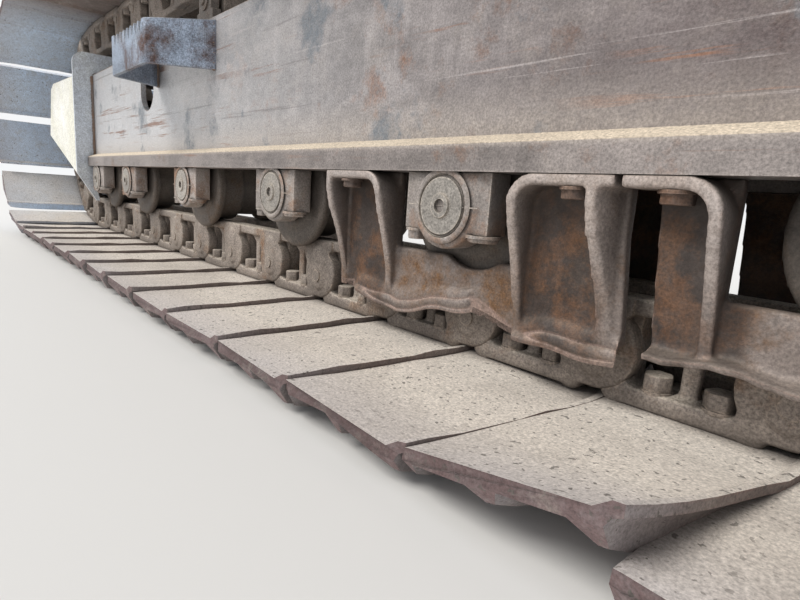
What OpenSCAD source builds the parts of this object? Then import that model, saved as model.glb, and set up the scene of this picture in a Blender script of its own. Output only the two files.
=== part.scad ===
// Track unit of a crawler excavator: the left-hand side frame with its drive, idler, rollers,
// chain guards, step and track. X runs forwards to the idler, Y to the outside, Z up.
// The origin is on the ground, midway between sprocket and idler, in the track's middle plane.

/* [Track chain] */
// Distance between two pins of the chain
pitch = 216; // [205:0.5:230]
// Number of links and shoes
shoe_count = 51; // [49:2:53]
// Pin centre to the face that carries the shoe
link_below = 65; // [60:1:72]
// Pin centre to the rail that the rollers run on
link_above = 70; // [64:1:76]
// Half the thickness of a link
link_half_t = 27; // [22:1:28]
// Place of the first pin ahead of the middle of the frame
chain_shift = -34; // [-108:1:108]
// Half length of the foot that carries the shoe
foot_half = 68; // [60:1:72]
// Middle plane of a link row, from the track's middle plane
link_row_y = 77.5; // [74:0.5:80]
// Radius of the bushings that the sprocket pulls on
bushing_r = 36; // [32:1:38]
// How far the upper run hangs between its supports
sag = 10; // [0:1:14]

/* [Shoes] */
// Width of a shoe across the track
shoe_w = 850; // [700:10:900]
// Thickness of the shoe's plate
shoe_t = 14; // [11:1:16]
// Height of a grouser below the plate
grouser_h = 32; // [28:1:38]
// Gap between two shoes on the straight
shoe_gap = 6; // [5:1:10]
// How far a shoe's middle lies ahead of its link's middle
shoe_shift = 29; // [20:1:32]

/* [Drive and idler] */
// Teeth of the sprocket, of which every second one pulls
teeth = 22; // [22:1:22]
// Thickness of the sprocket
sprocket_t = 84; // [70:1:88]
// Radius of the final drive's barrel
hub_r = 185; // [170:1:195]
// Outer end of the final drive, from the middle plane
hub_out = 232; // [215:1:250]
// Radius of the final drive's flanges
ring_r = 230; // [226:1:240]
// Height of the idler's middle flange over its treads
idler_flange_h = 20; // [14:1:24]
// Clearance between the idler's treads and the chain
idler_clear = 5.9; // [5:0.1:8]
// Radius of the idler's axle
idler_axle_r = 46; // [40:1:50]

/* [Rollers] */
// Radius of a track roller's treads
roller_r = 92; // [86:1:96]
// How far a track roller's flanges stand over its treads
roller_flange_h = 23; // [18:1:24]
// Radius of a track roller's shaft
roller_shaft_r = 43; // [36:1:44]
// Outer end of a roller's collar, from the middle plane
collar_out = 187; // [183:1:190]
// Radius of a carrier roller
carrier_r = 55; // [50:1:56]
// Gap between a carrier roller and the beam's top
carrier_gap = 7; // [6:1:20]

/* [Side frame] */
// Shaft centre of a roller to the underside of the frame
frame_gap = 48; // [46:1:52]
// Thickness of the beam's bottom flanges
bottom_t = 36; // [28:1:38]
// Half width of the beam over its bottom flanges
bottom_half_w = 193; // [189:1:205]
// Half width of the beam over the flanges
box_half_w = 163; // [160:1:168]
// Thickness of the box's side plates and of its top
wall_t = 16; // [12:1:18]
// Rise of the top plate from the side plates to its flat middle
ridge_h = 6; // [3:1:7]
// Distance of a car body pad from the middle of the frame
pad_x = 640; // [560:10:700]

/* [Chain guards] */
// Front end of the foremost guard, ahead of its roller
guard_front = 287; // [270:1:300]
// Gap between two guards that follow each other
guard_gap = 7; // [5:1:12]
// Thickness of a guard's walls
guard_t = 14; // [10:1:16]
// Radius of the bend between a post's top and its inner wall
bend_r = 38; // [30:1:44]
// Height of the guard's lower lip over the shoes
lip_rise = 82; // [70:1:90]
// How far the lip stands out of the guard's web
lip_out = 40; // [30:1:44]

/* [Step] */
// Length of the step at the frame's wall
step_len = 414; // [380:1:440]
// How much shorter the step is at its outer bar
step_taper = 128; // [100:1:140]
// How far the step stands out of the frame
step_out = 135; // [115:1:140]
// Height of the step's strap
step_h = 116; // [100:1:120]
// How far the strap drops from the wall to its outer bar
step_drop = 17; // [0:1:24]
// Thickness of the strap
step_t = 12; // [9:1:14]

/* [Hidden] */
clear = 0.3;
half_turn = teeth / 4 * pitch;
step_angle = 720 / teeth;
pin_r_circle = pitch / (2 * sin(step_angle / 2));
span_count = 3;
sag_extra = pow(PI * span_count * sag, 2) / (2 * (shoe_count - teeth / 2) * pitch);
centre_dist = ((shoe_count - teeth / 2) * pitch - sag_extra) / 2;
run = centre_dist;
top_run = run + sag_extra;
sprocket_x = -centre_dist / 2;
idler_x = centre_dist / 2;
shoe_face_z = grouser_h + shoe_t;
pin_z = shoe_face_z + link_below;
rail_z = pin_z + link_above;
wheel_z = pin_z + pin_r_circle;
top_rail_z = wheel_z + pin_r_circle - link_above;
roller_z = rail_z + roller_r + clear;
frame_z = roller_z + frame_gap;
box_z = frame_z + bottom_t;
chord_drop = sag * pow(PI * span_count * pitch / (2 * centre_dist), 2);
carrier_z = top_rail_z - chord_drop - carrier_r - clear;
side_top_z = carrier_z - carrier_r - carrier_gap - ridge_h;
side_h = side_top_z - box_z;
// Distances of the rollers from the middle, as shares of the wheels' distance
roller_share = [0.0578, 0.1764, 0.3, 0.397];
half_count = len(roller_share);
function roller_x(i) = centre_dist
    * (i < half_count ? -roller_share[half_count - 1 - i] : roller_share[i - half_count]);
lip_in = 140;
floor_z = roller_z + roller_r + roller_flange_h + 8;
floor_t = 12;
beam_x0 = sprocket_x + ring_r + 2;
beam_x1 = idler_x - 338;
fork_x1 = idler_x + 130;
open_x0 = sprocket_x + pin_r_circle + 17;
guard_roller = [3, 2, 0];
guard_rear = (roller_x(3) - roller_x(2)) / 2;
short_front = guard_rear - guard_gap;
web_y = 132;
carrier_x = [-centre_dist / 6, centre_dist / 6];
pad_w = 380;
pad_h = 280;
pad_t = 36;
hole_r = 19.5;
hole_dx = 300;
hole_dz = 190;
pad_mid_z = box_z + side_h / 2;
inner_y = box_half_w - wall_t - 2;
block_y = link_row_y + link_half_t + 6;
yoke_x0 = idler_x - 400;
rod_len = 220;
spring_len = 640;
end_t = 14;
end_top = side_top_z + 86;
cheek_y = 234;
cheek_len = 529;
cheek_top = 680;
cheek_low = 290;
cheek_rise = 169;
cheek_t = 12;
facet_y = 164;
facet_z = 177;
steel = [0.42, 0.39, 0.37];
dark_steel = [0.3, 0.27, 0.25];
dusty = [0.52, 0.46, 0.38];
cream = [0.86, 0.83, 0.66];

// Place of the point at distance s along the closed path of the pins, from the middle of the lower run
function on_wheel(cx, a) = [cx + pin_r_circle * sin(a), wheel_z - pin_r_circle * cos(a)];
function dip(x) = sag * pow(sin(180 * span_count * (x + centre_dist / 2) / centre_dist), 2);
function path(s) =
    s < run / 2 ? [s, pin_z]
    : s < run / 2 + half_turn ? on_wheel(idler_x, (s - run / 2) / pitch * step_angle)
    : s < run / 2 + half_turn + top_run
        ? let (x = idler_x - (s - run / 2 - half_turn) * run / top_run)
            [x, wheel_z + pin_r_circle - dip(x)]
    : s < run * 1.5 + sag_extra + 2 * half_turn
        ? on_wheel(sprocket_x, 180 + (s - run / 2 - half_turn - top_run) / pitch * step_angle)
    : [s - shoe_count * pitch, pin_z];
function pin(k) = path((k % shoe_count) * pitch + chain_shift);

// Puts its children on link k: X along the link, Z towards the shoe, the origin midway between its pins
module on_link(k) {
    a = pin(k);
    b = pin(k + 1);
    translate([(a[0] + b[0]) / 2, 0, (a[1] + b[1]) / 2])
        rotate([0, atan2(b[1] - a[1], b[0] - a[0]) * -1, 0])
            mirror([0, 0, 1]) children();
}

module across(w) {
    rotate([90, 0, 0]) translate([0, 0, -w / 2]) linear_extrude(w) children();
}

module along(x0, x1) {
    translate([x0, 0, 0]) rotate([90, 0, 90]) linear_extrude(x1 - x0) children();
}

// Triple-grouser shoe: a rolled plate with two edge bars and a middle bar
module shoe() {
    h = (pitch - shoe_gap) / 2;
    top = link_below + 0.02;
    low = top + shoe_t + grouser_h;
    flat = top + shoe_t;
    translate([shoe_shift, 0, 0]) across(shoe_w) polygon([
        [-h, top], [h, top], [h, low], [h - 22, flat], [12, flat], [0, low],
        [-12, flat], [-h + 22, flat], [-h, low]]);
}

module track_shoes() {
    color(dusty) for (k = [0:shoe_count - 1]) on_link(k) shoe();
}

// Point at a height over or under pin k, on the bisector of its two links
function mitre(k, h) =
    let (a = pin(k + shoe_count - 1), b = pin(k), c = pin(k + 1),
        t0 = atan2(b[1] - a[1], b[0] - a[0]), t1 = atan2(c[1] - b[1], c[0] - b[0]),
        turn = (t1 - t0 + 540) % 360 - 180, m = t0 + turn / 2)
    b + h / cos(turn / 2) * [-sin(m), cos(m)];

// Point on link k, at a distance ahead of its middle and a height over the line of its pins
function on_chord(k, u, h) =
    let (a = pin(k), b = pin(k + 1), t = atan2(b[1] - a[1], b[0] - a[0]))
    (a + b) / 2 + u * [cos(t), sin(t)] + h * [-sin(t), cos(t)];

// Links of one row, joined: the rail inside, the feet outside and the boss round each pin between them
module link_row(side) {
    boss = bushing_r + 9;
    color(dark_steel) translate([0, side * link_row_y, 0]) across(2 * link_half_t)
        difference() {
            polygon([for (k = [0:shoe_count - 1], j = [0:2])
                j == 0 ? mitre(k, -boss) : on_chord(k, (j * 2 - 3) * foot_half, -link_below)]);
            polygon([for (k = [0:shoe_count - 1]) mitre(k, link_above)]);
            for (k = [0:shoe_count - 1])
                polygon([on_chord(k, -42, -32), on_chord(k, 42, -32), on_chord(k, 0, 34)]);
        }
}

module track_bushings() {
    w = 2 * (link_row_y - link_half_t);
    color(dark_steel) for (k = [0:shoe_count - 1])
        translate([pin(k)[0], 0, pin(k)[1]]) rotate([90, 0, 0])
            cylinder(r = bushing_r, h = w, center = true, $fn = 6);
}

// Sprocket ring, whose valleys hold the bushings
module sprocket() {
    tip_r = pin_r_circle + 6;
    seat_r = bushing_r + 1;
    last = (shoe_count * pitch - run / 2 - chain_shift) / pitch;
    phase = (ceil(last - 0.5) - last) * step_angle;
    color(dark_steel) translate([sprocket_x, 0, wheel_z]) rotate([90, 0, 0])
        difference() {
            cylinder(r = tip_r, h = sprocket_t, center = true, $fn = 96);
            for (k = [0:teeth - 1])
                rotate([0, 0, -90 + phase + k * 360 / teeth]) translate([pin_r_circle, 0, 0]) {
                    cylinder(r = seat_r, h = sprocket_t + 2, center = true, $fn = 32);
                    linear_extrude(sprocket_t + 2, center = true)
                        polygon([[0, -seat_r], [0, seat_r], [40, seat_r + 11], [40, -seat_r - 11]]);
                }
            cylinder(r = hub_r + 2, h = sprocket_t + 2, center = true, $fn = 72);
        }
}

module turned(x, z) {
    translate([x, 0, z]) rotate([90, 0, 0]) mirror([0, 0, 1]) rotate_extrude($fn = 96) children();
}

// Outer drum of the final drive; its flange holds the sprocket ring
module final_drive_hub() {
    t = sprocket_t / 2;
    color(steel) turned(sprocket_x, wheel_z)
        polygon([[0, -60], [hub_r, -60], [hub_r, -t], [hub_r + 2, -t], [hub_r + 2, t], [ring_r, t],
            [ring_r, t + 24], [hub_r, t + 30], [hub_r, hub_out - 60], [hub_r - 30, hub_out - 26],
            [hub_r - 75, hub_out - 16], [hub_r - 85, hub_out], [0, hub_out]]);
}

module final_drive_case() {
    y = box_half_w;
    color(steel) turned(sprocket_x, wheel_z)
        polygon([[0, -y - 95], [88, -y - 95], [105, -y - 24], [ring_r - 2, -y - 24], [ring_r - 2, -y],
            [168, -y], [168, -60], [0, -60]]);
}

module idler() {
    tread_r = pin_r_circle * cos(step_angle / 2) - link_above - idler_clear;
    flange_r = tread_r + idler_flange_h;
    out_y = link_row_y + link_half_t;
    hub = idler_axle_r + 50;
    color(steel) turned(idler_x, wheel_z)
        polygon([[idler_axle_r + 0.08, -out_y], [hub, -out_y], [hub + 14, -34], [tread_r - 70, -26],
            [tread_r - 44, -out_y + 8], [tread_r - 38, -out_y], [tread_r, -out_y], [tread_r, -38],
            [flange_r, -34], [flange_r, 34], [tread_r, 38], [tread_r, out_y], [tread_r - 38, out_y],
            [tread_r - 44, out_y - 8], [tread_r - 70, 26], [hub + 14, 34], [hub, out_y],
            [idler_axle_r + 0.08, out_y]]);
}

module idler_axle() {
    color(steel) turned(idler_x, wheel_z)
        polygon([[0, -inner_y], [idler_axle_r, -inner_y], [idler_axle_r, inner_y], [0, inner_y]]);
}

// Sliding block that holds the axle in the fork
module bearing_block(side) {
    color(steel) translate([idler_x, 0, wheel_z]) difference() {
        translate([-90, side > 0 ? block_y : -inner_y, -75]) cube([180, inner_y - block_y, 150]);
        rotate([90, 0, 0]) cylinder(r = idler_axle_r + 0.08, h = 400, center = true, $fn = 72);
    }
}

module track_roller(i) {
    in_y = link_row_y - link_half_t - 4;
    out_y = link_row_y + link_half_t + 3;
    end_y = 134;
    fr = roller_r + roller_flange_h;
    color(dark_steel) turned(roller_x(i), roller_z)
        polygon([[roller_shaft_r + 0.08, -end_y], [72, -end_y], [80, -end_y + 5], [fr - 6, -end_y + 5],
            [fr, -out_y - 14], [fr - 3, -out_y], [roller_r, -out_y], [roller_r, -in_y], [76, -in_y + 12],
            [76, in_y - 12], [roller_r, in_y], [roller_r, out_y], [fr - 3, out_y], [fr, out_y + 14],
            [fr - 6, end_y - 5], [80, end_y - 5], [72, end_y], [roller_shaft_r + 0.08, end_y]]);
}

// Shaft of a track roller with the cast collars that bolt it under the flanges
module roller_mount(i) {
    y0 = 137;
    boss_r = 61;
    ear = 82;
    ear_low = 36;
    face = collar_out - 4;
    color(steel) translate([roller_x(i), 0, roller_z]) {
        rotate([90, 0, 0]) cylinder(r = roller_shaft_r, h = 2 * collar_out, center = true, $fn = 48);
        for (side = [-1, 1]) scale([1, side, 1]) {
            translate([0, (y0 + face) / 2, 0]) across(face - y0) intersection() {
                union() {
                    circle(r = boss_r, $fn = 48);
                    translate([-boss_r, 0]) square([2 * boss_r, frame_gap]);
                }
                translate([-boss_r, -boss_r - 1]) square([2 * boss_r, boss_r + 1 + frame_gap]);
            }
            translate([-ear, y0 + 3, -ear_low]) cube([2 * ear, face - y0 - 6, ear_low + frame_gap]);
        }
    }
}

module carrier_roller(i) {
    in_y = link_row_y - link_half_t - 2;
    out_y = link_row_y + link_half_t + 2;
    color(dark_steel) turned(carrier_x[i], carrier_z)
        polygon([[22.3, -out_y], [carrier_r, -out_y], [carrier_r, -in_y], [carrier_r - 12, -in_y + 10],
            [carrier_r - 12, in_y - 10], [carrier_r, in_y], [carrier_r, out_y], [22.3, out_y]]);
}

module carrier_bracket(i) {
    far = link_row_y + link_half_t + 34;
    color(steel) translate([carrier_x[i], 0, 0]) {
        translate([0, 0, carrier_z]) rotate([90, 0, 0]) cylinder(r = 22, h = 2 * far, center = true, $fn = 48);
        for (side = [-1, 1]) translate([0, side * (far - 12), 0]) across(22) {
            translate([0, carrier_z]) circle(r = 38, $fn = 48);
            translate([-50, side_top_z + ridge_h]) square([100, 36]);
            translate([-38, side_top_z + 30]) square([76, carrier_z - side_top_z - 30]);
        }
    }
}

// Chain guard, bolted under the frame round one roller: a web with two posts and a lower lip
module chain_guard(x, side, front, arch, rear, gusset = true) {
    arch_rear = 115;
    low = shoe_face_z + lip_rise;
    tall = frame_z - low;
    cut = gusset ? [0, 0] : [37, 23];
    flare = [guard_t, guard_t + 20];
    color(steel) translate([x, 0, 0]) scale([1, side, 1]) {
        translate([0, web_y + guard_t / 2, 0]) across(guard_t) difference() {
            polygon([[-rear, low], [front - cut[0], low], [front - cut[1], frame_z], [-rear, frame_z]]);
            translate([-arch_rear, low + 60]) square([arch_rear + arch, tall]);
            translate([0, roller_z]) circle(r = roller_r + 28, $fn = 72);
        }
        for (end = [-1, 1]) {
            a = end > 0 ? arch : arch_rear;
            b = end > 0 ? front : rear;
            intersection() {
                scale([end, 1, 1]) translate([0, web_y + 31, 0]) across(62) difference() {
                    union() {
                        translate([a + bend_r, low]) square([b - a - bend_r, tall]);
                        translate([a, low]) square([bend_r, tall - bend_r]);
                        translate([a + bend_r, frame_z - bend_r]) circle(r = bend_r, $fn = 48);
                    }
                    translate([a + bend_r, low - 1]) square([b - a, tall + 1 - guard_t]);
                    translate([a + guard_t, low - 1]) square([bend_r, tall + 1 - bend_r]);
                    translate([a + bend_r, frame_z - bend_r]) circle(r = bend_r - guard_t, $fn = 48);
                }
                guard_side(-rear - 1, front + 1);
            }
        }
        intersection() {
            translate([-rear, 0, low]) linear_extrude(tall)
                polygon([[0, web_y], [guard_t, web_y], [flare[1] + guard_t - 14, bottom_half_w],
                    [flare[1] - 14, bottom_half_w]]);
            guard_side(-rear - 1, front + 1);
        }
        if (gusset) intersection() {
            translate([front - guard_t, web_y, low]) cube([guard_t, bottom_half_w - web_y, tall]);
            guard_side(-rear - 1, front + 1);
        }
        along(-rear, front - cut[0])
            polygon([[web_y, low], [web_y + lip_out, low - 6], [web_y + lip_out + 3, low + 8],
                [web_y, low + 16]]);
    }
}

// Everything inside the slanting outer side of a guard
module guard_side(x0, x1) {
    low = shoe_face_z + lip_rise;
    along(x0, x1) polygon([[web_y, low - 1], [web_y + 27, low - 1], [bottom_half_w, frame_z - 30],
        [bottom_half_w, frame_z + 1], [web_y, frame_z + 1]]);
}

// Flange along the foot of one side plate, under which rollers and guards are bolted
module flange(side) {
    color(steel) translate([beam_x0, side > 0 ? lip_in : -bottom_half_w, frame_z])
        cube([beam_x1 - beam_x0, bottom_half_w - lip_in, bottom_t]);
}

module side_plate(side) {
    color(steel) difference() {
        translate([beam_x0, side > 0 ? box_half_w - wall_t : -box_half_w, box_z])
            cube([beam_x1 - beam_x0, wall_t, side_h]);
        if (side > 0) access_opening();
        else for (pad = [-1, 1]) pad_holes(pad);
    }
}

// Opening with a rounded foot, through which the track's tension is set
module access_opening() {
    r = 63;
    translate([idler_x - 1034, box_half_w, box_z + 141 + r]) rotate([90, 0, 0])
        linear_extrude(100, center = true) {
            circle(r = r, $fn = 48);
            translate([-r, 0]) square([2 * r, 64]);
        }
}

module top_plate() {
    half = box_half_w - wall_t;
    z1 = side_top_z + ridge_h;
    color(steel) along(open_x0, beam_x1)
        polygon([[-half, side_top_z - wall_t], [half, side_top_z - wall_t], [half, side_top_z],
            [half - ridge_h, z1], [-half + ridge_h, z1], [-half, side_top_z]]);
}

module floor_plate() {
    half = box_half_w - wall_t;
    color(steel) translate([open_x0, -half, floor_z]) cube([beam_x1 - open_x0, 2 * half, floor_t]);
}

module pad_holes(pad) {
    for (a = [-1, 1], b = [-1, 1])
        translate([pad * pad_x + a * hole_dx / 2, -box_half_w, pad_mid_z + b * hole_dz / 2])
            rotate([90, 0, 0]) cylinder(r = hole_r, h = 200, center = true, $fn = 48);
}

// Pad on the inner side, to which the car body's leg is bolted
module mounting_pad(pad) {
    color(steel) difference() {
        translate([pad * pad_x - pad_w / 2, -box_half_w - pad_t, pad_mid_z - pad_h / 2]) cube([pad_w, pad_t, pad_h]);
        pad_holes(pad);
    }
}

// Fork plate that guides a bearing block of the idler
module fork(side) {
    color(steel) difference() {
        translate([beam_x1, side > 0 ? box_half_w - wall_t : -box_half_w, box_z + 60])
            cube([fork_x1 - beam_x1, wall_t, side_h - 90]);
        translate([idler_x - 75, side * box_half_w - 30, wheel_z - 30]) cube([300, 60, 60]);
    }
}

// Fork between the bearing blocks and the recoil spring
module idler_yoke() {
    color(steel) {
        for (side = [-1, 1])
            translate([yoke_x0, side > 0 ? block_y : -inner_y, wheel_z - 45]) cube([310, inner_y - block_y, 90]);
        translate([yoke_x0, -inner_y, wheel_z - 60]) cube([36, 2 * inner_y, 120]);
        translate([yoke_x0 - rod_len + 0.05, 0, wheel_z]) rotate([0, 90, 0]) cylinder(r = 36, h = rod_len + 1, $fn = 48);
    }
}

module recoil_spring() {
    r = wheel_z - floor_z - floor_t;
    x0 = yoke_x0 - rod_len - spring_len;
    plate_t = 26;
    color(dark_steel) {
        translate([x0, 0, wheel_z]) rotate([0, 90, 0]) cylinder(r = r - 4, h = spring_len, $fn = 72);
        for (x = [x0 - plate_t, x0 + spring_len - plate_t])
            translate([x, -r, wheel_z - r]) cube([plate_t, 2 * r, 2 * r]);
    }
}

// Plate between the inner side plate and the final drive's flange
module drive_bracket() {
    color(steel) difference() {
        translate([0, -box_half_w + wall_t / 2, 0]) across(wall_t) {
            translate([sprocket_x, wheel_z]) circle(r = ring_r, $fn = 96);
            polygon([[sprocket_x, wheel_z - ring_r], [beam_x0, box_z], [beam_x0, side_top_z],
                [sprocket_x, wheel_z + ring_r]]);
        }
        translate([sprocket_x, -box_half_w, wheel_z]) rotate([90, 0, 0])
            cylinder(r = 168.3, h = 200, center = true, $fn = 96);
    }
}

// Open box round the travel motor
module motor_cover() {
    y0 = -box_half_w - 24;
    d = 172;
    t = 8;
    x0 = sprocket_x - ring_r;
    l = 400;
    h = 328;
    color(steel) difference() {
        translate([x0, y0 - d, wheel_z - h / 2]) cube([l, d, h]);
        translate([x0 + t, y0 - d + t, wheel_z - h / 2 + t]) cube([l - 2 * t, d, h - 2 * t]);
    }
}

// Transverse plate at the beam's idler end
module end_plate(side) {
    r = 45;
    y0 = box_half_w;
    in_y = 60;
    shelf = side_top_z + ridge_h + 6;
    color(steel) scale([1, side, 1]) along(beam_x1, beam_x1 + end_t) {
        polygon([[y0, facet_z + 60], [facet_y - 12, facet_z], [facet_y, facet_z], [cheek_y, cheek_low],
            [cheek_y, end_top - r], [cheek_y - r, end_top - r], [cheek_y - r, end_top], [in_y, end_top],
            [in_y, shelf], [y0, shelf]]);
        translate([cheek_y - r, end_top - r]) circle(r = r, $fn = 48);
    }
}

// Cheek beside the idler, with the folded facet under it that guides the chain
module idler_cheek(side) {
    x0 = beam_x1 + end_t;
    turn = atan(cheek_rise / cheek_len);
    l = cheek_len / cos(turn);
    drop = cheek_low - facet_z;
    back = drop * sin(turn);
    lean = atan((cheek_y - facet_y) / (drop * cos(turn)));
    w = (cheek_y - facet_y) / sin(lean);
    color(cream) scale([1, side, 1]) {
        translate([0, cheek_y - cheek_t / 2, 0]) across(cheek_t)
            polygon([[x0, cheek_low], [x0 + cheek_len, cheek_low + cheek_rise],
                [x0 + cheek_len - 73, cheek_top - 21], [x0 + cheek_len - 129, cheek_top], [x0, cheek_top - 10]]);
        intersection() {
            translate([x0, cheek_y - 1, cheek_low]) rotate([0, -turn, 0]) rotate([90 - lean, 0, 0])
                linear_extrude(cheek_t)
                    polygon([[-80, -w], [-80, 0], [l - 14, 0], [l * 0.5, -w * 0.8], [-back + 20, -w]]);
            translate([x0, 0, 0]) cube([cheek_len + 20, cheek_y + 50, cheek_top]);
        }
    }
}

// Step: a strap bent to a U, with a toothed top edge outside
module step() {
    x = idler_x - 1357;
    top = side_top_z - 13;
    r = 34;
    l = step_len / 2 - step_taper / 2;
    lean = atan(step_taper / 2 / step_out);
    tip = r * tan((90 - lean) / 2);
    bar = 2 * (l - tip);
    teeth_n = 10;
    color(steel) translate([x, box_half_w, top]) intersection() {
        rotate([-atan(step_drop / step_out), 0, 0]) translate([0, 0, -step_h]) difference() {
            linear_extrude(step_h) {
                translate([-bar / 2, step_out - step_t]) square([bar, step_t]);
                for (a = [-1, 1]) scale([a, 1]) {
                    translate([l - tip, step_out - r]) intersection() {
                        difference() {
                            circle(r = r, $fn = 48);
                            circle(r = r - step_t, $fn = 48);
                        }
                        polygon([[0, 0], [0, 2 * r], [2 * r * sin(45 - lean / 2), 2 * r * cos(45 - lean / 2)],
                            [2 * r * cos(lean), 2 * r * sin(lean)]]);
                    }
                    translate([l, step_out]) rotate(lean) translate([-step_t, -step_out - 40])
                        square([step_t, step_out + 40 - tip]);
                }
            }
            translate([0, step_out, 0]) across(60) for (k = [0:teeth_n - 1]) {
                w = bar / teeth_n;
                translate([-bar / 2 + k * w, step_h - 20])
                    polygon([[0, 0], [w / 2, 12], [w, 0], [w, 40], [0, 40]]);
            }
        }
        translate([-step_len, 0, -2 * step_h]) cube([2 * step_len, 2 * step_out, 3 * step_h]);
    }
}

ROLLERS = [for (i = [1:8]) i];

flange(1);  // flange_outer
flange(-1);  // flange_inner
side_plate(1);  // side_plate_outer
side_plate(-1);  // side_plate_inner
top_plate();
floor_plate();
mounting_pad(1);  // mounting_pad_front
mounting_pad(-1);  // mounting_pad_rear
fork(1);  // fork_outer
fork(-1);  // fork_inner
end_plate(1);  // end_plate_outer
end_plate(-1);  // end_plate_inner
idler_cheek(1);  // idler_cheek_outer
idler_cheek(-1);  // idler_cheek_inner
step();
drive_bracket();
motor_cover();
final_drive_case();
final_drive_hub();
sprocket();
idler();
idler_axle();
bearing_block(1);  // bearing_block_outer
bearing_block(-1);  // bearing_block_inner
idler_yoke();
recoil_spring();
carrier_roller(0);  // carrier_roller_rear
carrier_roller(1);  // carrier_roller_front
carrier_bracket(0);  // carrier_bracket_rear
carrier_bracket(1);  // carrier_bracket_front
chain_guard(roller_x(guard_roller[0]), 1, guard_front, 135, guard_rear);  // guard_outer_1
chain_guard(roller_x(guard_roller[1]), 1, short_front, 147, guard_rear, false);  // guard_outer_2
chain_guard(roller_x(guard_roller[2]), 1, short_front, 147, roller_x(0) - beam_x0);  // guard_outer_3
chain_guard(roller_x(guard_roller[0]), -1, guard_front, 135, guard_rear);  // guard_inner_1
chain_guard(roller_x(guard_roller[1]), -1, short_front, 147, guard_rear, false);  // guard_inner_2
chain_guard(roller_x(guard_roller[2]), -1, short_front, 147, roller_x(0) - beam_x0);  // guard_inner_3
track_shoes();
link_row(1);  // link_row_outer
link_row(-1);  // link_row_inner
track_bushings();
for (i = ROLLERS) {
    track_roller(i - 1);
    roller_mount(i - 1);
}
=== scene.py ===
import math
import random

import bmesh
import bpy
from mathutils import Matrix, Vector


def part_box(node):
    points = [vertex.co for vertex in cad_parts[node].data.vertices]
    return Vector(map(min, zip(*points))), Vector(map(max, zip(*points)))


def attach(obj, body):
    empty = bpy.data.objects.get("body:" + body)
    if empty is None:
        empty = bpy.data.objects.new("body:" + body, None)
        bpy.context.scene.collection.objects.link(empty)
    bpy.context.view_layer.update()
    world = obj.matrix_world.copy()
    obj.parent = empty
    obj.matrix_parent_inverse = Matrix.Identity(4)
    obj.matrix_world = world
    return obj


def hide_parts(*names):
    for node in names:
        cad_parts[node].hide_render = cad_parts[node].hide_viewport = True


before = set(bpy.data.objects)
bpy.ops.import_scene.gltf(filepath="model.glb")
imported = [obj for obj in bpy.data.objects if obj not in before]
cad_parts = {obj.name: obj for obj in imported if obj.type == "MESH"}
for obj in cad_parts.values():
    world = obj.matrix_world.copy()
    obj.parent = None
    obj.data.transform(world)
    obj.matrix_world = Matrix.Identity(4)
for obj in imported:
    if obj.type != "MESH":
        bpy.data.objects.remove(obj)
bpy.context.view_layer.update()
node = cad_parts

# Floor, light and camera
# A pale floor under a soft, even sky, with one broad lamp from the outer side.
# The camera is close to the outer side, a little over the shoes, and looks along to the idler.
floor_tone = (0.66, 0.655, 0.64, 1)
camera_place = Vector((-0.794, 0.746, 0.284))
camera_right = Vector((-0.6598, -0.7486, 0.0657))
camera_up = Vector((0.1856, -0.0776, 0.9796))
camera_back = Vector((-0.7282, 0.6585, 0.1901))
focal_px = 538.7
image_w = 800

bpy.ops.object.select_all(action="DESELECT")
bpy.ops.mesh.primitive_plane_add(size=60, location=(0, 0, -0.002))
floor = bpy.context.object
floor.name = "floor"
floor_mat = bpy.data.materials.new("floor_pale")
floor_mat.use_nodes = True
floor_mat.node_tree.nodes["Principled BSDF"].inputs["Base Color"].default_value = floor_tone
floor_mat.node_tree.nodes["Principled BSDF"].inputs["Roughness"].default_value = 0.9
floor.data.materials.append(floor_mat)

sky = bpy.data.worlds.new("sky")
sky.use_nodes = True
bpy.context.scene.world = sky
tree = sky.node_tree
ray = tree.nodes.new("ShaderNodeLightPath")
shown = tree.nodes.new("ShaderNodeMath")
shown.operation = "MAXIMUM"
mix = tree.nodes.new("ShaderNodeMixShader")
seen = tree.nodes.new("ShaderNodeBackground")
seen.inputs["Color"].default_value = (0.93, 0.94, 0.95, 1)
seen.inputs["Strength"].default_value = 1.0
light = tree.nodes["Background"]
light.inputs["Color"].default_value = (0.93, 0.95, 1.0, 1)
light.inputs["Strength"].default_value = 0.80
tree.links.new(ray.outputs["Is Camera Ray"], shown.inputs[0])
tree.links.new(ray.outputs["Is Glossy Ray"], shown.inputs[1])
tree.links.new(shown.outputs[0], mix.inputs["Fac"])
tree.links.new(light.outputs[0], mix.inputs[1])
tree.links.new(seen.outputs[0], mix.inputs[2])
tree.links.new(mix.outputs[0], tree.nodes["World Output"].inputs["Surface"])

lamp_data = bpy.data.lights.new("broad_lamp", "SUN")
lamp_data.energy = 2.65
lamp_data.angle = math.radians(28)
lamp_data.color = (1.0, 0.97, 0.92)
lamp = bpy.data.objects.new("broad_lamp", lamp_data)
bpy.context.collection.objects.link(lamp)
lamp.rotation_euler = Vector((-0.28, -0.62, -0.74)).to_track_quat("-Z", "Y").to_euler()

cam_data = bpy.data.cameras.new("camera")
cam_data.sensor_width = 36
cam_data.lens = focal_px / image_w * 36
cam_data.clip_start = 0.02
camera = bpy.data.objects.new("camera", cam_data)
bpy.context.collection.objects.link(camera)
turn = Matrix((camera_right, camera_up, camera_back)).transposed().to_4x4()
camera.matrix_world = Matrix.Translation(camera_place) @ turn
bpy.context.scene.camera = camera
bpy.context.scene.view_settings.view_transform = "Standard"


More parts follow.
